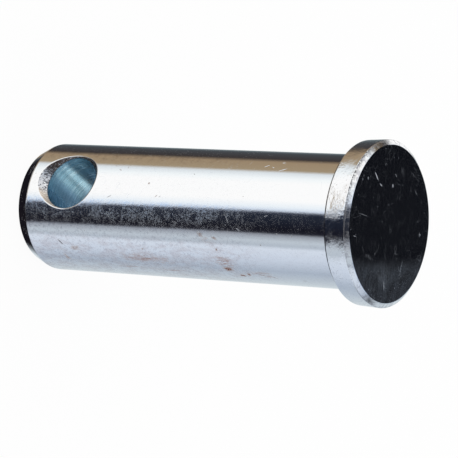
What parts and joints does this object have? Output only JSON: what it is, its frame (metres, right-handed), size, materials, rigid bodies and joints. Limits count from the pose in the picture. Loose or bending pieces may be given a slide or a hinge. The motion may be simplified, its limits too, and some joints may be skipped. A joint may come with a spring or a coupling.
{
  "type": "clevis pin",
  "caption": "Round steel pin with a thin, chamfered head at one end and a countersunk cross hole near its chamfered tip.",
  "frame": {"origin": "centre of the flat end of the tip, which the pin stands on", "axes": "+Z along the pin's axis from the tip to the head, Y along the cross hole"},
  "size_m": [0.0198, 0.0198, 0.0496],
  "materials": {
    "zinc_plated_steel": "bright zinc plated, turned, lightly scuffed"
  },
  "bodies": {
    "root": {"clevis_pin": "zinc_plated_steel"}
  },
  "joints": []
}
